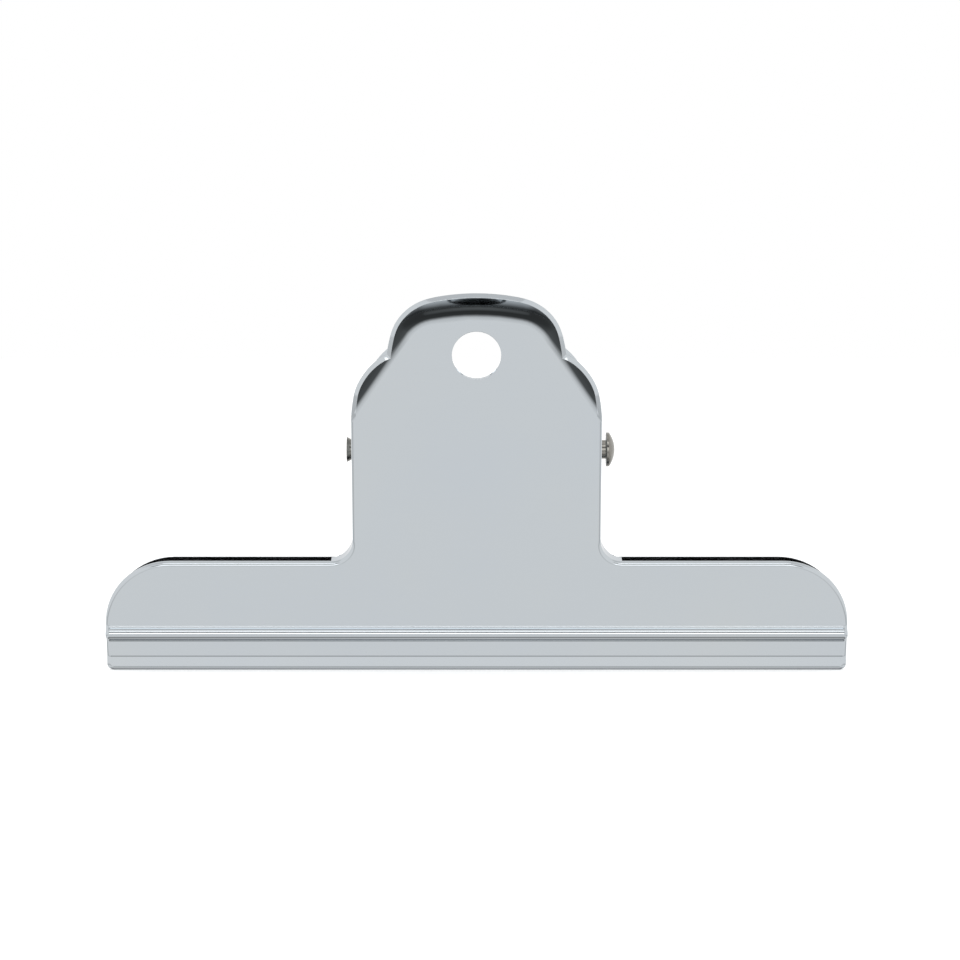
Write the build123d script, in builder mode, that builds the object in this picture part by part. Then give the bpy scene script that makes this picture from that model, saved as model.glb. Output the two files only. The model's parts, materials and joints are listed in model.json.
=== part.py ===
from build123d import *
import math
import os

# Wide T-shaped bulldog clip, closed and upright. Millimetres.
# +X runs along the jaw, -Y is the front, +Z points up from the jaw to the tabs.
# The origin is the middle of the jaw's lower edge, between the two lips.

# Sheet and lean of each half
SHEET = 1.0
EDGE_FLAT = 0.15
LEAN = 14.6
LIP_GAP = 0.05

# Jaw, heights measured along the plate from the bend of the lip
JAW_WIDTH = 145.0
LIP_HEIGHT = 2.8
LIP_BEND = 1.5
LIP_CORNER = 1.4
BEAD_HEIGHT = 4.72
BEAD_INSIDE = 0.3
BEAD_BLEND = 0.5
WING_TOP = 19.45
WING_CORNER = 12.9

# Tab, heights measured the same way
TAB_WIDTH = 48.1
WAIST_FILLET = 4.2
RIM_START = 47.5
RIM_SLOPE = 56.0
RIM_CORNER = 6.5
RIM_TOP = 68.0
RIM_TOP_RADIUS = 45.0
HOLE_DIAMETER = 9.4
BACK_HOLE_DIAMETER = 11.6
HOLE_HEIGHT = 61.1

# Flared rim of the tab, and the lobed outline that it is cut to
FLARE_ANGLE = 45.0
FLARE_RADIUS = 5.0
EDGE_ANGLE = 45.0
RIM_REACH = 9.4
RIM_FRONT = 3.8
SHOULDER_RISE = 5.5
SHOULDER_RADIUS = 9.2
LOBE_STEP = 6.65
LOBE_CORNER = 12.0
LOBE_TOP_RADIUS = 34.0

# Ears, bent back from the sides of the tab
EAR_WALL = 3.3
EAR_END = 2.4
EAR_GAP = 0.2

# Pivot rivet
PIN_HEIGHT = 43.3
RIVET_DIAMETER = 3.7
RIVET_CLEARANCE = 0.06
HEAD_OVERHANG = 1.5
HEAD_THICKNESS = 1.7
HEAD_RIM = 0.6
HEAD_PLAY = 1.2
TAIL_FLARE = 0.65
TAIL_PLAY = 0.1
TAIL_LENGTH = 1.2
TAIL_WALL = 0.5
TAIL_BORE = 4.0

# Torsion spring
WIRE = 2.0
WIRE_SIDES = 6
COIL_CLEARANCE = 1.35
COIL_TURNS = 4
COIL_GAP = 1.0
COIL_LEAD = 0.25
LEG_SPREAD = 35.0
LEG_BEND = 6.0
LEG_TAIL = 8.0
LEG_GAP = 0.1
GAP_SAMPLES = 400

# Planes of the front plate: its outer face, with Y up the plate, and its section, with X up the plate
slope = math.radians(LEAN)
OUTWARD = (0, -math.cos(slope), -math.sin(slope))
UP_PLATE = (0, -math.sin(slope), math.cos(slope))
BEND_POINT = (0, -(LIP_GAP + SHEET), LIP_HEIGHT)
face_plane = Plane(origin=BEND_POINT, x_dir=(1, 0, 0), z_dir=OUTWARD)
side_plane = Plane(origin=BEND_POINT, x_dir=UP_PLATE, z_dir=(1, 0, 0))

# Sizes that follow from those above
jaw_half = JAW_WIDTH / 2
outer_half = TAB_WIDTH / 2
inner_half = outer_half - SHEET - EAR_GAP
bead_radius = BEAD_INSIDE + SHEET
lobe_top = RIM_TOP + RIM_REACH
slant = math.radians(RIM_SLOPE)
along_slant = Vector(-math.cos(slant), math.sin(slant))
off_slant = Vector(math.sin(slant), math.cos(slant))
shank_radius = RIVET_DIAMETER / 2
hinge_radius = shank_radius + RIVET_CLEARANCE
pin_point = (0, 0, PIN_HEIGHT)
pin_in_side = side_plane.to_local_coords(Vector(pin_point))
pin_depth = -pin_in_side.Y


def slant_start(tab_half):
    """Where the side of a tab meets the slanting bend line, which both tabs share."""
    return Vector(tab_half, RIM_START + (outer_half - tab_half) * math.tan(slant))


def flipped(point):
    """The same point on the left half."""
    return (-point[0], point[1])


def draw_bend_line(tab_half):
    """Draws the line along which the rim is bent, from the right ear over the top to the left ear."""
    start = slant_start(tab_half)
    top_centre = Vector(0, RIM_TOP - RIM_TOP_RADIUS)
    reach = RIM_TOP_RADIUS - RIM_CORNER
    offset_start = start - off_slant * RIM_CORNER - top_centre
    back = offset_start.dot(along_slant)
    run = math.sqrt(back**2 - offset_start.dot(offset_start) + reach**2) - back
    slant_end = start + along_slant * run
    centre = slant_end - off_slant * RIM_CORNER
    touch = top_centre + (centre - top_centre) * (RIM_TOP_RADIUS / reach)
    middle = centre + (slant_end + touch - centre * 2).normalized() * RIM_CORNER
    right = [(point.X, point.Y) for point in (start, slant_end, middle, touch)]
    left = [flipped(point) for point in reversed(right)]
    Line(right[0], right[1])
    ThreePointArc(right[1:])
    ThreePointArc(right[-1], (0, RIM_TOP), left[0])
    ThreePointArc(left[:-1])
    Line(left[-2], left[-1])


def lobed_block(tab_half):
    """Block that the rim is cut to: a lobed outline at the sheet's back that narrows forwards."""
    floor = RIM_START - FLARE_RADIUS
    shoulder = slant_start(tab_half) + Vector(0, SHOULDER_RISE)
    side_centre = shoulder - Vector(SHOULDER_RADIUS, 0)
    top_centre = Vector(0, lobe_top - LOBE_TOP_RADIUS)
    reach = LOBE_TOP_RADIUS - LOBE_CORNER
    corner_x = outer_half - LOBE_STEP - LOBE_CORNER
    corner = top_centre + Vector(corner_x, math.sqrt(reach**2 - corner_x**2))
    to_corner = (corner - top_centre).normalized()
    with BuildPart() as block:
        for depth in (-2 * SHEET, RIM_FRONT):
            inset = (depth + SHEET) * math.tan(math.radians(EDGE_ANGLE))
            side = corner + Vector(LOBE_CORNER - inset, 0)
            touch = corner + to_corner * (LOBE_CORNER - inset)
            foot = shoulder - Vector(inset, 0)
            drop = math.sqrt((SHOULDER_RADIUS - inset) ** 2 - (side.X - side_centre.X) ** 2)
            notch = Vector(side.X, shoulder.Y + drop)
            top = (0, lobe_top - inset)
            with BuildSketch(face_plane.offset(depth)):
                with BuildLine():
                    Polyline((0, floor), (foot.X, floor), foot)
                    TangentArc(foot, notch, tangent=(0, 1))
                    Line(notch, side)
                    TangentArc(side, touch, tangent=(0, 1))
                    TangentArc(top, touch, tangent=(1, 0))
                    Line(top, (0, floor))
                make_face()
                mirror(about=Plane.YZ)
        loft(ruled=True)
    return block.part


def flared_rim(tab_half):
    """Rim that curls outwards along the bend line, lapped into the tab and cut to the lobed outline."""
    start_plane = Plane(
        origin=face_plane.from_local_coords(slant_start(tab_half)),
        x_dir=face_plane.from_local_coords(off_slant) - face_plane.origin,
        z_dir=face_plane.origin - face_plane.from_local_coords(along_slant),
    )
    with BuildPart() as rim:
        with BuildLine(face_plane) as bend_line:
            draw_bend_line(tab_half)
        with BuildSketch(start_plane):
            with BuildLine():
                Line((-SHEET, 0), (0, 0))
                curl = CenterArc((0, FLARE_RADIUS), FLARE_RADIUS, -90, FLARE_ANGLE)
                PolarLine(curl @ 1, 2 * RIM_REACH, FLARE_ANGLE)
                offset(amount=SHEET, side=Side.RIGHT)
            make_face()
        sweep(path=bend_line.wires()[0])
        add(lobed_block(tab_half), mode=Mode.INTERSECT)
    return rim.part


def ear(tab_half):
    """Right ear: a wall bent back from the tab's side that curls out over the jaw at its foot."""
    top = slant_start(tab_half).Y
    waist = WING_TOP + WAIST_FILLET
    foot = WING_TOP - SHEET
    curl_x = tab_half + WAIST_FILLET
    inside = tab_half - SHEET
    ear_radius = hinge_radius + EAR_WALL
    with BuildPart() as wall:
        with BuildSketch(face_plane):
            with BuildLine():
                Line((tab_half, top), (tab_half, waist))
                TangentArc((tab_half, waist), (curl_x, WING_TOP), tangent=(0, -1))
                Line((curl_x, WING_TOP), (curl_x, foot))
                TangentArc((curl_x, foot), (inside, waist), tangent=(-1, 0))
                Polyline((inside, waist), (inside, top), (tab_half, top))
            make_face()
        extrude(amount=-(pin_depth + ear_radius))
        with BuildSketch(side_plane):
            with Locations((pin_in_side.X, pin_in_side.Y)):
                Circle(ear_radius)
            with BuildLine():
                Line((foot, 0), (foot, -EAR_END))
                Line((top, 0), (top, -EAR_END))
            make_hull()
        extrude(amount=jaw_half, mode=Mode.INTERSECT)
    return wall.part


def runs_along_bend(edge):
    """Whether an edge of the outer face is in the chain of the ear's bend, from which the rounding runs on."""
    return WING_TOP - SHEET < face_plane.to_local_coords(edge.center()).Y < RIM_START


def pressed_plate(tab_half, hole_diameter):
    """Front half of the clip: jaw, tab, ears and flared rim, pressed from one sheet."""
    lip_foot = (-LIP_HEIGHT * math.cos(slope), LIP_HEIGHT * math.sin(slope))
    bead_foot = BEAD_HEIGHT - bead_radius
    bead_head = BEAD_HEIGHT + bead_radius
    tab_end = (tab_half, slant_start(tab_half).Y)
    wide_edge = [(0, -JAW_WIDTH), (JAW_WIDTH, -JAW_WIDTH), (JAW_WIDTH, WING_TOP)]
    waist_edge = [(JAW_WIDTH, WING_TOP), (tab_half, WING_TOP), tab_end]
    with BuildPart() as plate:
        with BuildSketch(side_plane.offset(-jaw_half)):
            with BuildLine() as outer_line:
                Polyline(lip_foot, (0, 0), (bead_foot, 0))
                TangentArc((bead_foot, 0), (bead_head, 0), tangent=(0, 1))
                Line((bead_head, 0), (RIM_TOP + SHEET, 0))
                fillet(outer_line.vertices().sort_by(Axis.X)[2:4], radius=BEAD_BLEND)
                fillet(outer_line.vertices().sort_by(Axis.X)[1], radius=LIP_BEND)
                offset(amount=SHEET, side=Side.RIGHT)
            make_face()
        extrude(amount=JAW_WIDTH)
        fillet(plate.edges().filter_by(Axis.Y), radius=LIP_CORNER)
        with BuildSketch(face_plane):
            with BuildLine():
                Polyline(*wide_edge)
                FilletPolyline(*waist_edge, radius=WAIST_FILLET)
                draw_bend_line(tab_half)
                FilletPolyline(*[flipped(point) for point in waist_edge], radius=WAIST_FILLET)
                Polyline(*[flipped(point) for point in wide_edge])
            make_face()
        extrude(amount=JAW_WIDTH, both=True, mode=Mode.INTERSECT)
        across_sheet = plate.edges().filter_by(Axis((0, 0, 0), OUTWARD)).sort_by(Axis.X)
        fillet([across_sheet[0], across_sheet[-1]], radius=WING_CORNER)
        right_ear = ear(tab_half)
        add(right_ear)
        mirror(right_ear, about=Plane.YZ)
        outer_face = plate.faces().filter_by(face_plane).sort_by(SortBy.AREA)[-1]
        fillet(outer_face.edges().filter_by(runs_along_bend), radius=SHEET - EDGE_FLAT)
        add(flared_rim(tab_half))
        with BuildSketch(face_plane):
            with Locations((0, HOLE_HEIGHT)):
                Circle(hole_diameter / 2)
        extrude(amount=2 * SHEET, both=True, mode=Mode.SUBTRACT)
        with BuildSketch(Plane(origin=pin_point, x_dir=(0, 1, 0), z_dir=(1, 0, 0))):
            Circle(hinge_radius)
        extrude(amount=jaw_half, both=True, mode=Mode.SUBTRACT)
    return plate.part


def coil_point(travel):
    """Point and direction on the coil's centre line after an angle of travel from the front leg."""
    into = min(travel, lead_angle)
    left = min(coil_sweep - travel, lead_angle)
    eased_in = into - into**2 / (2 * lead_angle)
    eased_out = lead_angle / 2 - left + left**2 / (2 * lead_angle)
    angle = leg_angle + travel
    x = coil_rise * (travel - eased_in - eased_out) - coil_half
    y = -coil_radius * math.cos(angle)
    z = PIN_HEIGHT - coil_radius * math.sin(angle)
    drift = coil_rise * min(into, left) / lead_angle
    heading = Vector(drift, coil_radius * math.sin(angle), -coil_radius * math.cos(angle))
    return Vector(x, y, z), heading.normalized()


def draw_coil_step(start, end):
    """Draws two arcs that carry the centre line from one point and direction to the next."""
    start_point, start_way = start
    end_point, end_way = end
    span = end_point - start_point
    both_ways = span.dot(start_way + end_way)
    turn = 2 * (1 - start_way.dot(end_way))
    pull = (math.sqrt(both_ways**2 + turn * span.dot(span)) - both_ways) / turn
    first_handle = start_point + start_way * pull
    last_handle = end_point - end_way * pull
    middle = (first_handle + last_handle) / 2
    TangentArc(start_point, middle, tangent=start_way)
    TangentArc(middle, end_point, tangent=last_handle - first_handle)


def leg_points(x, side):
    """Tip, bend and root of a spring leg; side is -1 for the front leg and 1 for the back leg."""
    spread = math.radians(LEG_SPREAD)
    away = pin_depth - SHEET - LEG_GAP - WIRE / 2
    rise = (away - coil_radius * math.cos(spread)) / math.sin(spread)
    root_y = coil_radius * math.cos(leg_angle)
    root_z = PIN_HEIGHT - coil_radius * math.sin(leg_angle)
    bend_y = root_y + rise * math.sin(leg_angle)
    bend_z = root_z + rise * math.cos(leg_angle)
    tip_y = bend_y + LEG_TAIL * math.sin(slope)
    tip_z = bend_z + LEG_TAIL * math.cos(slope)
    return [(x, side * tip_y, tip_z), (x, side * bend_y, bend_z), (x, side * root_y, root_z)]


def least_gap(wire):
    """Least gap of the wound wire to itself, on points that lie over half a turn apart along it."""
    points = [wire @ (index / GAP_SAMPLES) for index in range(GAP_SAMPLES + 1)]
    apart = math.ceil(math.pi * coil_radius / wire.length * GAP_SAMPLES)
    return min((a - b).length for i, a in enumerate(points) for b in points[i + apart :]) - WIRE


os.makedirs("parts", exist_ok=True)

# Front plate: the wider tab, with its ears outside
with BuildPart() as front_plate:
    add(pressed_plate(outer_half, HOLE_DIAMETER))
front_plate.part.label = "front_plate"
export_step(front_plate.part, "parts/front_plate.step")

# Back plate: the same pressing with a narrower tab, so its ears fit inside the front ones, and a wider hole
with BuildPart() as back_plate:
    mirror(pressed_plate(inner_half, BACK_HOLE_DIAMETER), about=Plane.XZ)
back_plate.part.label = "back_plate"
export_step(back_plate.part, "parts/back_plate.step")

# Pivot rivet: domed head on the right, tubular end flared open on the left
head_radius = shank_radius + HEAD_OVERHANG
tail_radius = shank_radius + TAIL_FLARE
bore_radius = shank_radius - TAIL_WALL
head_under = outer_half + HEAD_PLAY
head_top = head_under + HEAD_THICKNESS
tail_start = -(outer_half + TAIL_PLAY)
tail_end = tail_start - TAIL_LENGTH
bore_end = tail_end + TAIL_BORE
with BuildPart() as pivot_rivet:
    with BuildSketch(Plane(origin=pin_point, x_dir=(1, 0, 0), z_dir=(0, -1, 0))):
        with BuildLine():
            Line((bore_end, 0), (head_top, 0))
            TangentArc((head_top, 0), (head_under + HEAD_RIM, head_radius), tangent=(0, 1))
            Polyline(
                (head_under + HEAD_RIM, head_radius),
                (head_under, head_radius),
                (head_under, shank_radius),
                (tail_start, shank_radius),
                (tail_end, tail_radius),
                (tail_end, tail_radius - TAIL_WALL),
                (tail_start, bore_radius),
                (bore_end, bore_radius),
                (bore_end, 0),
            )
        make_face()
    revolve(axis=Axis(pin_point, (1, 0, 0)))
pivot_rivet.part.label = "pivot_rivet"
export_step(pivot_rivet.part, "parts/pivot_rivet.step")

# Torsion spring: a coil round the rivet, with one leg against each tab
coil_radius = shank_radius + COIL_CLEARANCE + WIRE / 2
leg_angle = math.radians(LEAN + LEG_SPREAD)
coil_sweep = 2 * math.pi * COIL_TURNS + math.pi - 2 * leg_angle
lead_angle = 2 * math.pi * COIL_LEAD
coil_rise = (WIRE + COIL_GAP) / (2 * math.pi)
coil_half = coil_rise * (coil_sweep - lead_angle) / 2
coil_steps = math.ceil(coil_sweep / (math.pi / 2))
stations = [coil_point(coil_sweep * step / coil_steps) for step in range(coil_steps + 1)]
front_leg = leg_points(-coil_half, -1)
back_leg = leg_points(coil_half, 1)
front_tip = Plane(origin=front_leg[0], x_dir=(1, 0, 0), z_dir=(0, math.sin(slope), -math.cos(slope)))
with BuildPart() as torsion_spring:
    with BuildLine() as wire_line:
        FilletPolyline(*front_leg, radius=LEG_BEND)
        for start, end in zip(stations, stations[1:]):
            draw_coil_step(start, end)
        FilletPolyline(*reversed(back_leg), radius=LEG_BEND)
    with BuildSketch(front_tip):
        RegularPolygon(WIRE / 2, WIRE_SIDES)
    sweep(path=wire_line.wires()[0])
torsion_spring.part.label = "torsion_spring"
export_step(torsion_spring.part, "parts/torsion_spring.step")
print(f"torsion_spring: least gap to itself {least_gap(wire_line.wires()[0]):.2f} mm")
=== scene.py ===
"""Looks of a wide bulldog clip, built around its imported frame.

Metres, +Z up, -Y towards the viewer. The clip stands closed on the foot of its jaw.
"""

import json
import logging
import math
from dataclasses import dataclass
from enum import Enum
from typing import Any, Iterator

import bpy
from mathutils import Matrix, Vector

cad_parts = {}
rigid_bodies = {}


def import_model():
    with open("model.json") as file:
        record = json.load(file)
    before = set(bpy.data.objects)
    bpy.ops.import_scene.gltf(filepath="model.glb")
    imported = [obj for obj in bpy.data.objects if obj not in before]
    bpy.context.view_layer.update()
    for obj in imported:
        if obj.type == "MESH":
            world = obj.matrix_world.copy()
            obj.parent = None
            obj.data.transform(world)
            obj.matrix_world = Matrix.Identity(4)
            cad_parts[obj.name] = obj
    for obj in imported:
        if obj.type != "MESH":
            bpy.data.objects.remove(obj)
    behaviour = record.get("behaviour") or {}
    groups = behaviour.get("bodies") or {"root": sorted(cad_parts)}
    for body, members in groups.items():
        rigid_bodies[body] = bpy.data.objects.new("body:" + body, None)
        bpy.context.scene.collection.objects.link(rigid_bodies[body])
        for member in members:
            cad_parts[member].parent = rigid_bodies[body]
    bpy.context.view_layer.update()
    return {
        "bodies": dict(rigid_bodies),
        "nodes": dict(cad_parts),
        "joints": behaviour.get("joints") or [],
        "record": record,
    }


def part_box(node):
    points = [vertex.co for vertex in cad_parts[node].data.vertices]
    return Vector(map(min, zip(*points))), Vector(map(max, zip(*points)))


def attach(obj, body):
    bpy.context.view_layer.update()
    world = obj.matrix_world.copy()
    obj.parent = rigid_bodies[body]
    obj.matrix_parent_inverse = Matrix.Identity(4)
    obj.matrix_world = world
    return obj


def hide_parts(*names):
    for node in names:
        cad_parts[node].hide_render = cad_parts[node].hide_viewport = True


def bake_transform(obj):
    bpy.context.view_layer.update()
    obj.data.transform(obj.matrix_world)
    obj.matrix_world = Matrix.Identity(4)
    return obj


LOG = logging.getLogger("bulldog_clip")
MM = 0.001
# Name of the plate's attribute that says where shade is painted into the plating's colour
PAINTED_BEND_SHADE = "painted_bend_shade"


class Body(Enum):
    """The two halves that turn about the rivet."""

    FRONT = "front_half"
    BACK = "back_half"


class Slot(Enum):
    """Material slots of the record."""

    SHEET = "plated_sheet"
    RIVET = "rivet_nickel"
    WIRE = "spring_wire"


def linear(colour: str) -> tuple[float, float, float, float]:
    """Turns an sRGB hex colour into the linear values that a socket takes.

    Args:
        colour: Six hex digits after a hash sign.

    Returns:
        Linear red, green and blue, and an alpha of one.
    """
    parts = [int(colour[place : place + 2], 16) / 255 for place in (1, 3, 5)]
    red, green, blue = [
        part / 12.92 if part <= 0.04045 else ((part + 0.055) / 1.055) ** 2.4 for part in parts
    ]
    return red, green, blue, 1.0


def per_metre(size_mm: float) -> float:
    """Turns the size of a pattern into a texture scale.

    Args:
        size_mm: Size of one feature of the pattern.

    Returns:
        Features in a metre.
    """
    return 1.0 / (size_mm * MM)


def add_node(
    tree: bpy.types.NodeTree, kind: str, inputs: dict[Any, Any] | None = None, **settings: Any
) -> bpy.types.Node:
    """Adds a node, sets it up and links what feeds it.

    Args:
        tree: Node tree that takes the node.
        kind: Type name of the node.
        inputs: Socket names or numbers, each with a plain value or with the output that feeds it.
        **settings: Attributes of the node.

    Returns:
        The new node.
    """
    node = tree.nodes.new(kind)
    for name, value in settings.items():
        setattr(node, name, value)
    for socket, value in (inputs or {}).items():
        if isinstance(value, bpy.types.NodeSocket):
            tree.links.new(value, node.inputs[socket])
        else:
            node.inputs[socket].default_value = value
    return node


@dataclass(frozen=True)
class MetalFinish:
    """A metal surface: its colour, its gloss and the marks that its making leaves."""

    name: str
    colour: str
    shade: str
    roughness: float
    haze: float
    cloud_mm: float
    mark_mm: tuple[float, float, float]
    mark_depth_mm: float
    wave_mm: float
    wave_depth_mm: float
    # Colour of the painted shade, laid on where the plate's attribute marks a bend
    bend_shade_colour: str = ""
    edge_round_mm: float = 0.0
    edge_samples: int = 8
    cloud_detail: float = 3.0
    mark_detail: float = 4.0
    mark_range: tuple[float, float] = (0.35, 0.7)
    wave_detail: float = 1.0

    def material(self) -> bpy.types.Material:
        """Builds the material, or returns it if it is there already.

        Returns:
            The material with its nodes.
        """
        found = bpy.data.materials.get(self.name)
        if found:
            return found
        material = bpy.data.materials.new(self.name)
        material.use_nodes = True
        tree = material.node_tree
        shader = tree.nodes["Principled BSDF"]
        shader.inputs["Metallic"].default_value = 1.0
        place = add_node(tree, "ShaderNodeTexCoord").outputs["Object"]
        cloud = add_node(
            tree,
            "ShaderNodeTexNoise",
            {"Vector": place, "Scale": per_metre(self.cloud_mm), "Detail": self.cloud_detail},
        )
        tint = add_node(
            tree,
            "ShaderNodeMix",
            {"Factor": cloud.outputs["Fac"], "A": linear(self.colour), "B": linear(self.shade)},
            data_type="RGBA",
        )
        # Painted shade: mixes the dark grey in where the attribute marks the rim's bend and the lip's crease
        if self.bend_shade_colour:
            shade_mask = add_node(tree, "ShaderNodeAttribute", attribute_name=PAINTED_BEND_SHADE)
            tint = add_node(
                tree,
                "ShaderNodeMix",
                {"Factor": shade_mask.outputs["Fac"], "A": tint.outputs["Result"], "B": linear(self.bend_shade_colour)},
                data_type="RGBA",
            )
        tree.links.new(tint.outputs["Result"], shader.inputs["Base Color"])
        stretch = add_node(
            tree, "ShaderNodeMapping", {"Vector": place, "Scale": [per_metre(size) for size in self.mark_mm]}
        )
        marks = add_node(
            tree,
            "ShaderNodeTexNoise",
            {"Vector": stretch.outputs["Vector"], "Scale": 1.0, "Detail": self.mark_detail},
        )
        faint, strong = self.mark_range
        gloss = add_node(
            tree,
            "ShaderNodeMapRange",
            {
                "Value": marks.outputs["Fac"],
                "From Min": faint,
                "From Max": strong,
                "To Min": self.roughness,
                "To Max": self.roughness + self.haze,
            },
        )
        tree.links.new(gloss.outputs["Result"], shader.inputs["Roughness"])
        wave = add_node(
            tree,
            "ShaderNodeTexNoise",
            {"Vector": place, "Scale": per_metre(self.wave_mm), "Detail": self.wave_detail},
        )
        swell = add_node(
            tree,
            "ShaderNodeBump",
            {"Height": wave.outputs["Fac"], "Strength": 1.0, "Distance": self.wave_depth_mm * MM},
        )
        if self.edge_round_mm:
            rounded = add_node(
                tree, "ShaderNodeBevel", {"Radius": self.edge_round_mm * MM}, samples=self.edge_samples
            )
            tree.links.new(rounded.outputs["Normal"], swell.inputs["Normal"])
        scratch = add_node(
            tree,
            "ShaderNodeBump",
            {
                "Height": marks.outputs["Fac"],
                "Strength": 1.0,
                "Distance": self.mark_depth_mm * MM,
                "Normal": swell.outputs["Normal"],
            },
        )
        tree.links.new(scratch.outputs["Normal"], shader.inputs["Normal"])
        return material


# Bright plating on pressed steel sheet: a near mirror with a cool tint, clouded a little where
# the plating is thicker, over a sheet whose rolling left long faint lines along the jaw. Inside
# the rim's bend and in the lip's crease a dark grey is painted into the colour: painted shade, for the darker
# reflection there.
BRIGHT_PLATING = MetalFinish(
    name="bright_plated_steel_sheet",
    colour="#CBD2D9",
    shade="#D0D5D7",
    roughness=0.06,
    haze=0.04,
    cloud_mm=30.0,
    mark_mm=(9.0, 0.5, 0.5),
    mark_depth_mm=0.00025,
    wave_mm=11.0,
    wave_depth_mm=0.0012,
    # Painted shade: the dark grey laid into the colour inside the rim's bend and in the lip's crease
    bend_shade_colour="#4C5052",
    edge_round_mm=0.12,
)

# The same plating on edges that were sheared and then tumbled: it is thinner and duller there,
# so the eye sees a hair-thin soft line round the sheet.
WORN_EDGE = MetalFinish(
    name="tumbled_plated_steel_edge",
    colour="#D3D5D6",
    shade="#C2C4C5",
    roughness=0.12,
    haze=0.08,
    cloud_mm=3.0,
    mark_mm=(0.6, 0.6, 0.6),
    mark_depth_mm=0.0003,
    wave_mm=5.0,
    wave_depth_mm=0.001,
    edge_round_mm=0.12,
)

# Nickel on a turned steel rivet: warmer than the sheet, with fine rings from the tool.
WARM_NICKEL = MetalFinish(
    name="nickel_plated_steel_rivet",
    colour="#A6A49E",
    shade="#83817B",
    roughness=0.13,
    haze=0.1,
    cloud_mm=2.5,
    mark_mm=(0.12, 3.0, 3.0),
    mark_depth_mm=0.0008,
    wave_mm=2.0,
    wave_depth_mm=0.002,
)

# Hard-drawn spring wire: grey, with draw lines too fine to show at their real size,
# so they are drawn coarser here.
DRAWN_WIRE = MetalFinish(
    name="hard_drawn_spring_wire",
    colour="#B9BBBC",
    shade="#9FA2A4",
    roughness=0.22,
    haze=0.14,
    cloud_mm=4.0,
    mark_mm=(0.3, 0.3, 0.3),
    mark_depth_mm=0.0015,
    wave_mm=3.0,
    wave_depth_mm=0.002,
)


def activate(piece: bpy.types.Object) -> None:
    """Makes one object the only selected and the active one.

    Args:
        piece: Object that the next operators act on.
    """
    if bpy.context.object and bpy.context.object.mode != "OBJECT":
        bpy.ops.object.mode_set(mode="OBJECT")
    bpy.ops.object.select_all(action="DESELECT")
    piece.select_set(True)
    bpy.context.view_layer.objects.active = piece


def apply_modifier(piece: bpy.types.Object, kind: str, **settings: Any) -> None:
    """Adds a modifier to a piece and applies it.

    Args:
        piece: Object that takes the modifier.
        kind: Type name of the modifier.
        **settings: Attributes of the modifier.
    """
    activate(piece)
    modifier = piece.modifiers.new(kind.lower(), kind)
    for name, value in settings.items():
        setattr(modifier, name, value)
    bpy.ops.object.modifier_apply(modifier=modifier.name)


def settle(piece: bpy.types.Object, body: Body, slot: Slot, *nodes: str) -> None:
    """Hands a finished piece to the frame.

    Args:
        piece: Finished object.
        body: Body that it rides on.
        slot: Not used.
        *nodes: CAD nodes that it stands for.
    """
    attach(piece, body.value)
    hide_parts(*nodes)


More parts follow.
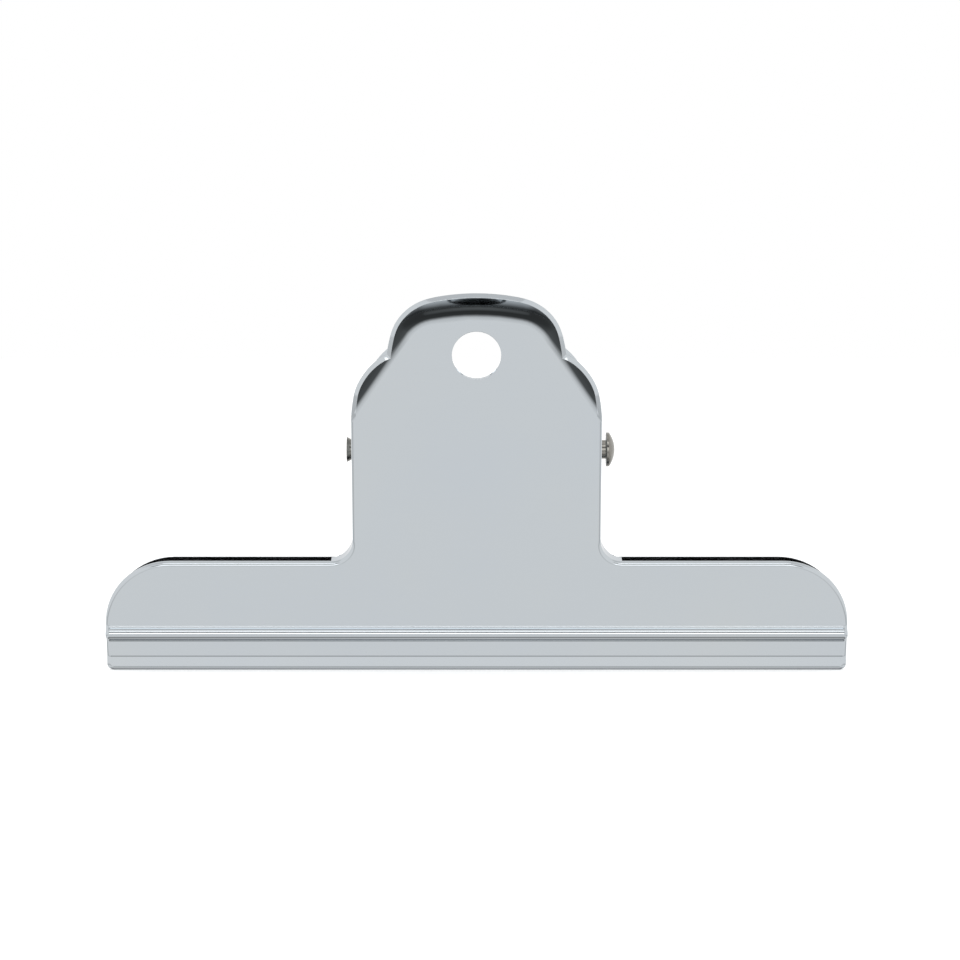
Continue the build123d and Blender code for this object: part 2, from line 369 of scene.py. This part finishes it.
@dataclass
class PressedPlate:
    """One half of the clip: jaw, tab, ears and flared rim in one pressed sheet."""

    node: str
    body: Body
    edge_width: float = 0.07 * MM
    edge_segments: int = 3
    edge_material: int = 1
    merge_distance: float = 0.002 * MM
    flat_angle: float = math.radians(0.4)
    edge_angle: float = math.radians(50.0)
    smooth_angle: float = math.radians(38.0)
    # Where the painted shade in the rim's bend begins, is full, is deep and ends, out from the tab's face;
    # then the painted shade along the lip's crease
    bend_begins: float = 0.02 * MM
    bend_shade_full: float = 0.12 * MM
    bend_deep: float = 1.5 * MM
    bend_ends: float = 2.7 * MM
    crease_top: float = 3.6 * MM
    crease_shade: float = 0.35
    crease_begins: float = math.radians(1.0)
    crease_ends: float = math.radians(13.0)

    def build(self, frame: dict[str, Any]) -> bpy.types.Object:
        """Models the plate on a merged copy of its CAD node, with softened cut edges.


        Returns:
            The finished plate.
        """
        source = frame["nodes"][self.node]
        plate = source.copy()
        plate.data = source.data.copy()
        plate.name = f"{self.node}_sheet"
        plate.parent = None
        for key in list(plate.keys()):
            del plate[key]
        bpy.context.scene.collection.objects.link(plate)
        plate.data.materials.clear()
        activate(plate)
        bpy.ops.object.mode_set(mode="EDIT")
        bpy.ops.mesh.select_all(action="SELECT")
        bpy.ops.mesh.customdata_custom_splitnormals_clear()
        bpy.ops.mesh.remove_doubles(threshold=self.merge_distance)
        bpy.ops.mesh.dissolve_limited(angle_limit=self.flat_angle)
        bpy.ops.object.mode_set(mode="OBJECT")
        self.dress(plate)
        apply_modifier(
            plate,
            "BEVEL",
            width=self.edge_width,
            segments=self.edge_segments,
            limit_method="ANGLE",
            angle_limit=self.edge_angle,
            material=self.edge_material,
            miter_outer="MITER_ARC",
        )
        activate(plate)
        bpy.ops.object.shade_smooth_by_angle(angle=self.smooth_angle)
        apply_modifier(plate, "WEIGHTED_NORMAL", keep_sharp=True)
        face, outward = self.tab_face(frame)
        self.paint_bend_shade(plate, face, outward)
        return plate

    def tab_face(self, frame: dict[str, Any]) -> tuple[Vector, Vector]:
        """Finds the tab's flat outer face, which the record gives for the back half.


        Returns:
            A point in the middle of the face, and the direction that the face looks in.
        """
        mount = next(mount for mount in frame["record"]["mounts"] if mount["name"] == "back_tab_face")
        half = Vector((1.0, -1.0, 1.0)) if self.body is Body.FRONT else Vector((1.0, 1.0, 1.0))
        return Vector(mount["pos_m"]) * half, Vector(mount["axis"]) * half

    def paint_bend_shade(self, plate: bpy.types.Object, face: Vector, outward: Vector) -> None:
        """Paints shade into the plating's colour: inside the rim's bend, and along the lip's crease.

        Args:
            plate: Plate with its edges softened.
            face: Point on the tab's outer face.
            outward: Direction that the face looks in.
        """
        # Painted shade: full inside the rim's bend, partial along the lip's crease
        marks = plate.data.attributes.new(PAINTED_BEND_SHADE, "FLOAT", "POINT")
        for vertex, shade_at_point in zip(plate.data.vertices, marks.data):
            away = vertex.co - face
            stands_out = away.dot(outward)
            to_middle = outward * stands_out - away
            turn = vertex.normal.angle(outward)
            if vertex.normal.dot(to_middle) < 0.0:
                continue
            if vertex.co.z > face.z and vertex.normal.dot(outward) > 0.0:
                rise = (stands_out - self.bend_begins) / (self.bend_shade_full - self.bend_begins)
                fall = (self.bend_ends - stands_out) / (self.bend_ends - self.bend_deep)
                shade_at_point.value = min(max(rise, 0.0), max(fall, 0.0), 1.0)
            elif vertex.co.z < self.crease_top and self.crease_begins < turn < self.crease_ends:
                shade_at_point.value = self.crease_shade

    def dress(self, plate: bpy.types.Object) -> None:
        """Gives the plate its plating and the finish of its cut edges.

        Args:
            plate: Plate without materials.
        """
        plate.data.materials.append(BRIGHT_PLATING.material())
        plate.data.materials.append(WORN_EDGE.material())


@dataclass
class PivotRivet:
    """The rivet that both halves turn on, with a domed head and a flared tubular end."""

    node: str = "pivot_rivet"
    sides: int = 64
    shank_radius: float = 1.85 * MM
    head_radius: float = 3.35 * MM
    head_rim: float = 0.6 * MM
    head_thickness: float = 1.7 * MM
    tail_radius: float = 2.5 * MM
    tail_length: float = 1.2 * MM
    tail_wall: float = 0.5 * MM
    bore_depth: float = 4.0 * MM
    edge_width: float = 0.14 * MM
    edge_segments: int = 3
    edge_angle: float = math.radians(35.0)
    smooth_angle: float = math.radians(40.0)
    dome_steps: int = 10

    def outline(self) -> Iterator[tuple[float, float]]:
        """Places along the rivet and radii there, from the floor of the bore to the top of the head.

        Returns:
            Pairs of X and radius.
        """
        low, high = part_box(self.node)
        bore = self.shank_radius - self.tail_wall
        head_under = high.x - self.head_thickness
        yield low.x + self.bore_depth, bore
        yield low.x + self.tail_length, bore
        yield low.x, self.tail_radius - self.tail_wall
        yield low.x, self.tail_radius
        yield low.x + self.tail_length, self.shank_radius
        yield head_under, self.shank_radius
        yield head_under, self.head_radius
        rim = head_under + self.head_rim
        yield rim, self.head_radius
        rise = self.head_thickness - self.head_rim
        ball = (self.head_radius**2 + rise**2) / (2 * rise)
        for step in range(1, self.dome_steps):
            radius = self.head_radius * (1 - step / self.dome_steps)
            yield high.x - ball + math.sqrt(ball**2 - radius**2), radius

    def build(self) -> bpy.types.Object:
        """Turns the outline into a closed solid, ring by ring, and softens its edges.

        Returns:
            The finished rivet.
        """
        low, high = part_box(self.node)
        middle = (low + high) / 2
        rings = list(self.outline())
        start_x, start_radius = rings[0]
        bpy.ops.object.select_all(action="DESELECT")
        bpy.ops.mesh.primitive_circle_add(
            vertices=self.sides,
            radius=start_radius,
            fill_type="NGON",
            location=(start_x, middle.y, middle.z),
            rotation=(0.0, math.pi / 2, 0.0),
        )
        rivet = bpy.context.object
        rivet.name = "pivot_rivet_turned"
        bpy.ops.object.transform_apply(location=True, rotation=True, scale=True)
        bpy.ops.object.mode_set(mode="EDIT")
        bpy.ops.mesh.select_all(action="SELECT")
        for (x, radius), (next_x, next_radius) in zip(rings, rings[1:]):
            bpy.ops.mesh.extrude_region_move(TRANSFORM_OT_translate={"value": (next_x - x, 0.0, 0.0)})
            share = next_radius / radius
            bpy.ops.transform.resize(value=(1.0, share, share), center_override=(next_x, middle.y, middle.z))
        bpy.ops.mesh.select_all(action="SELECT")
        bpy.ops.mesh.normals_make_consistent(inside=False)
        bpy.ops.object.mode_set(mode="OBJECT")
        apply_modifier(
            rivet,
            "BEVEL",
            width=self.edge_width,
            segments=self.edge_segments,
            limit_method="ANGLE",
            angle_limit=self.edge_angle,
        )
        activate(rivet)
        bpy.ops.object.shade_smooth_by_angle(angle=self.smooth_angle)
        apply_modifier(rivet, "WEIGHTED_NORMAL", keep_sharp=True)
        rivet.data.materials.append(WARM_NICKEL.material())
        return rivet


@dataclass
class TorsionSpring:
    """The spring round the rivet, one leg against each tab."""

    node: str = "torsion_spring"
    wire: float = 2.0 * MM
    coil_radius: float = 4.2 * MM
    pin_height: float = 43.3 * MM
    turns: int = 4
    pitch: float = 3.0 * MM
    lead_turns: float = 0.25
    lean: float = math.radians(14.6)
    leg_spread: float = math.radians(35.0)
    leg_away: float = 9.125 * MM
    leg_tail: float = 8.0 * MM
    steps_per_turn: int = 36
    bend_steps: int = 8
    bend_radius: float = 6.0 * MM
    section_steps: int = 6
    merge_distance: float = 0.002 * MM
    end_round: float = 0.2 * MM
    end_segments: int = 3
    end_angle: float = math.radians(60.0)
    smooth_angle: float = math.radians(50.0)

    @property
    def leg_angle(self) -> float:
        """Angle at which a leg leaves the coil."""
        return self.lean + self.leg_spread

    @property
    def sweep(self) -> float:
        """Angle that the wire turns through between its legs."""
        return 2 * math.pi * self.turns + math.pi - 2 * self.leg_angle

    @property
    def half_length(self) -> float:
        """Half of the distance between the two legs, along the rivet."""
        return self.pitch / (2 * math.pi) * (self.sweep - 2 * math.pi * self.lead_turns) / 2

    def coil_point(self, travel: float) -> Vector:
        """Finds a point on the coil's centre line.

        Args:
            travel: Angle that the wire has turned through since the front leg.

        Returns:
            The point.
        """
        lead = 2 * math.pi * self.lead_turns
        into = min(travel, lead)
        left = min(self.sweep - travel, lead)
        eased_in = into - into**2 / (2 * lead)
        eased_out = lead / 2 - left + left**2 / (2 * lead)
        angle = self.leg_angle + travel
        x = self.pitch / (2 * math.pi) * (travel - eased_in - eased_out) - self.half_length
        return Vector(
            (x, -self.coil_radius * math.cos(angle), self.pin_height - self.coil_radius * math.sin(angle))
        )

    def leg(self, x: float, side: int) -> list[Vector]:
        """Centre line of a leg from its tip to the coil, with a round bend.

        Args:
            x: Place along the rivet.
            side: -1 for the front leg and 1 for the back leg.

        Returns:
            Points of the leg.
        """
        rise = (self.leg_away - self.coil_radius * math.cos(self.leg_spread)) / math.sin(self.leg_spread)
        root = Vector((math.cos(self.leg_angle), -math.sin(self.leg_angle))) * self.coil_radius
        along_root = Vector((math.sin(self.leg_angle), math.cos(self.leg_angle)))
        along_tip = Vector((math.sin(self.lean), math.cos(self.lean)))
        bend = root + along_root * rise
        tip = bend + along_tip * self.leg_tail
        setback = self.bend_radius * math.tan(self.leg_spread / 2)
        centre = bend - along_root * setback - Vector((along_root.y, -along_root.x)) * self.bend_radius
        flat = [tip]
        for step in range(self.bend_steps + 1):
            turn = self.lean + self.leg_spread * step / self.bend_steps
            flat.append(centre + Vector((math.cos(turn), -math.sin(turn))) * self.bend_radius)
        return [Vector((x, side * point.x, self.pin_height + point.y)) for point in flat]

    def route(self) -> list[Vector]:
        """Lays out the whole wire.

        Returns:
            Points of its centre line, from the front leg's tip to the back leg's tip.
        """
        steps = math.ceil(self.sweep / (2 * math.pi) * self.steps_per_turn)
        coil = [self.coil_point(self.sweep * step / steps) for step in range(steps + 1)]
        return self.leg(-self.half_length, -1) + coil + self.leg(self.half_length, 1)[::-1]

    def build(self) -> bpy.types.Object:
        """Winds the wire as a round tube with softened ends.

        Returns:
            The finished spring.
        """
        route = self.route()
        bpy.ops.object.select_all(action="DESELECT")
        bpy.ops.curve.primitive_nurbs_path_add(location=(0.0, 0.0, 0.0))
        spring = bpy.context.object
        spring.name = "torsion_spring_wire"
        curve = spring.data
        curve.splines.clear()
        spline = curve.splines.new("POLY")
        spline.points.add(len(route) - 1)
        for place, point in zip(spline.points, route):
            place.co = (*point, 1.0)
        curve.dimensions = "3D"
        curve.twist_mode = "MINIMUM"
        curve.bevel_depth = self.wire / 2
        curve.bevel_resolution = self.section_steps
        curve.use_fill_caps = True
        bpy.ops.object.convert(target="MESH")
        spring = bpy.context.object
        activate(spring)
        bpy.ops.object.mode_set(mode="EDIT")
        bpy.ops.mesh.select_all(action="SELECT")
        bpy.ops.mesh.remove_doubles(threshold=self.merge_distance)
        bpy.ops.mesh.normals_make_consistent(inside=False)
        bpy.ops.object.mode_set(mode="OBJECT")
        apply_modifier(
            spring,
            "BEVEL",
            width=self.end_round,
            segments=self.end_segments,
            limit_method="ANGLE",
            angle_limit=self.end_angle,
        )
        activate(spring)
        bpy.ops.object.shade_smooth_by_angle(angle=self.smooth_angle)
        spring.data.materials.clear()
        spring.data.materials.append(DRAWN_WIRE.material())
        return spring


@dataclass
class Studio:
    """White floor, soft light and the camera at the photograph's viewing angle."""

    camera_place: tuple[float, float, float] = (0.66 * MM, -600.0 * MM, 72.95 * MM)
    camera_aim: tuple[float, float, float] = (0.66 * MM, 0.0, 37.3 * MM)
    lens_mm: float = 115.23
    sensor_mm: float = 36.0
    clip_start: float = 10.0 * MM
    floor_half: float = 3.0
    floor_glow: float = 0.3
    # Elevations in degrees, with how bright the surround is there in the metal
    levels: tuple[tuple[int, float], ...] = (
        (-90, 0.9),
        (-84, 0.7),
        (-76, 0.3),
        (-60, 0.35),
        (-46, 0.8),
        (-40, 0.88),
        (-26, 0.9),
        (-22, 0.62),
        (-16, 0.62),
        (-12, 0.92),
        (50, 0.92),
        (55, 0.72),
        (75, 0.72),
        (90, 1.0),
    )
    # Dark gap before the clip, which the strip above its jaw shows
    gap_elevation: tuple[float, float] = (math.radians(19.5), math.radians(29.0))
    gap_half_width: float = 0.4
    # Soft boxes below and above the gap
    box_elevations: tuple[float, float] = (math.radians(8.5), math.radians(50.0))
    box_spreads: tuple[float, float] = (math.radians(8.5), math.radians(6.0))
    box_width: float = 0.5
    box_distance: float = 0.8
    box_radiance: float = 1.0

    def light(self) -> None:
        """Lights the scene with a soft surround, which the metal shows as bright and dark bands by height."""
        world = bpy.data.worlds.new("soft_surround")
        bpy.context.scene.world = world
        world.use_nodes = True
        tree = world.node_tree
        tree.nodes.clear()
        direction = add_node(tree, "ShaderNodeTexCoord").outputs["Generated"]
        axes = add_node(tree, "ShaderNodeSeparateXYZ", {"Vector": direction})
        height = add_node(
            tree, "ShaderNodeMapRange", {"Value": axes.outputs["Z"], "From Min": -1.0, "From Max": 1.0}
        )
        bands = add_node(tree, "ShaderNodeValToRGB", {"Fac": height.outputs["Result"]})
        stops = bands.color_ramp.elements
        while len(stops) < len(self.levels):
            stops.new(1.0)
        for stop, (angle, level) in zip(stops, self.levels):
            stop.position = (math.sin(math.radians(angle)) + 1) / 2
            stop.color = (level, level, level, 1.0)
        low, high = (math.sin(angle) for angle in self.gap_elevation)
        in_height = add_node(
            tree,
            "ShaderNodeMath",
            {0: axes.outputs["Z"], 1: (low + high) / 2, 2: (high - low) / 2},
            operation="COMPARE",
        )
        in_width = add_node(
            tree,
            "ShaderNodeMath",
            {0: axes.outputs["X"], 1: 0.0, 2: self.gap_half_width},
            operation="COMPARE",
        )
        in_front = add_node(tree, "ShaderNodeMath", {0: axes.outputs["Y"], 1: 0.0}, operation="LESS_THAN")
        window = add_node(
            tree, "ShaderNodeMath", {0: in_height.outputs[0], 1: in_width.outputs[0]}, operation="MULTIPLY"
        )
        gap = add_node(
            tree, "ShaderNodeMath", {0: window.outputs[0], 1: in_front.outputs[0]}, operation="MULTIPLY"
        )
        shown = add_node(
            tree,
            "ShaderNodeMix",
            {"Factor": gap.outputs[0], "A": bands.outputs["Color"], "B": linear("#000000")},
            data_type="RGBA",
        )
        surround = add_node(tree, "ShaderNodeBackground", {"Color": shown.outputs["Result"], "Strength": 1.0})
        white = add_node(tree, "ShaderNodeBackground", {"Color": linear("#FFFFFF"), "Strength": 1.0})
        path = add_node(tree, "ShaderNodeLightPath")
        mixed = add_node(
            tree,
            "ShaderNodeMixShader",
            {0: path.outputs["Is Glossy Ray"], 1: white.outputs[0], 2: surround.outputs[0]},
        )
        add_node(tree, "ShaderNodeOutputWorld", {"Surface": mixed.outputs[0]})

    def hang_soft_boxes(self) -> None:
        """Hangs soft boxes before the clip, for the white lines on its bends."""
        for elevation, spread in zip(self.box_elevations, self.box_spreads):
            lamp = bpy.data.lights.new("soft_box", "AREA")
            lamp.shape = "RECTANGLE"
            lamp.size = self.box_width
            lamp.size_y = 2 * self.box_distance * math.tan(spread)
            lamp.energy = math.pi * self.box_radiance * lamp.size * lamp.size_y
            soft_box = bpy.data.objects.new("soft_box", lamp)
            bpy.context.scene.collection.objects.link(soft_box)
            away = Vector((0.0, -math.cos(elevation), math.sin(elevation)))
            soft_box.location = away * self.box_distance
            soft_box.rotation_euler = (-away).to_track_quat("-Z", "Y").to_euler()

    def lay_floor(self) -> bpy.types.Object:
        """Lays a white floor that keeps the clip's soft shadow.

        Returns:
            The floor.
        """
        bpy.ops.object.select_all(action="DESELECT")
        bpy.ops.mesh.primitive_plane_add(size=2 * self.floor_half, location=(0.0, 0.0, 0.0))
        floor = bpy.context.object
        floor.name = "floor"
        material = bpy.data.materials.new("white_paper_floor")
        material.use_nodes = True
        shader = material.node_tree.nodes["Principled BSDF"]
        shader.inputs["Base Color"].default_value = linear("#FFFFFF")
        shader.inputs["Roughness"].default_value = 1.0
        shader.inputs["Specular IOR Level"].default_value = 0.0
        shader.inputs["Emission Color"].default_value = linear("#FFFFFF")
        shader.inputs["Emission Strength"].default_value = self.floor_glow
        floor.data.materials.append(material)
        floor.visible_glossy = False
        return floor

    def set_camera(self) -> bpy.types.Object:
        """Sets the camera at the photograph's viewing angle.

        Returns:
            The camera.
        """
        lens = bpy.data.cameras.new("photo_view")
        lens.lens = self.lens_mm
        lens.sensor_width = self.sensor_mm
        lens.clip_start = self.clip_start
        camera = bpy.data.objects.new("photo_view", lens)
        bpy.context.scene.collection.objects.link(camera)
        camera.location = self.camera_place
        gaze = Vector(self.camera_aim) - Vector(self.camera_place)
        camera.rotation_euler = gaze.to_track_quat("-Z", "Y").to_euler()
        bpy.context.scene.camera = camera
        return camera


def main() -> None:
    """Builds the clip's looks round its frame, piece by piece."""
    logging.basicConfig(level=logging.INFO, format="%(name)s: %(message)s")
    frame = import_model()
    bpy.context.scene.view_settings.view_transform = "Standard"

    for plate in (PressedPlate("front_plate", Body.FRONT), PressedPlate("back_plate", Body.BACK)):
        piece = plate.build(frame)
        settle(piece, plate.body, Slot.SHEET, plate.node)
        LOG.info("%s: %d faces", piece.name, len(piece.data.polygons))

    rivet = PivotRivet()
    piece = rivet.build()
    settle(piece, Body.BACK, Slot.RIVET, rivet.node)
    LOG.info("%s: %d faces", piece.name, len(piece.data.polygons))

    spring = TorsionSpring()
    piece = spring.build()
    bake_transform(piece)
    settle(piece, Body.BACK, Slot.WIRE, spring.node)
    LOG.info("%s: %d faces", piece.name, len(piece.data.polygons))

    studio = Studio()
    studio.light()
    studio.hang_soft_boxes()
    studio.lay_floor()
    studio.set_camera()


if __name__ == "__main__":
    main()
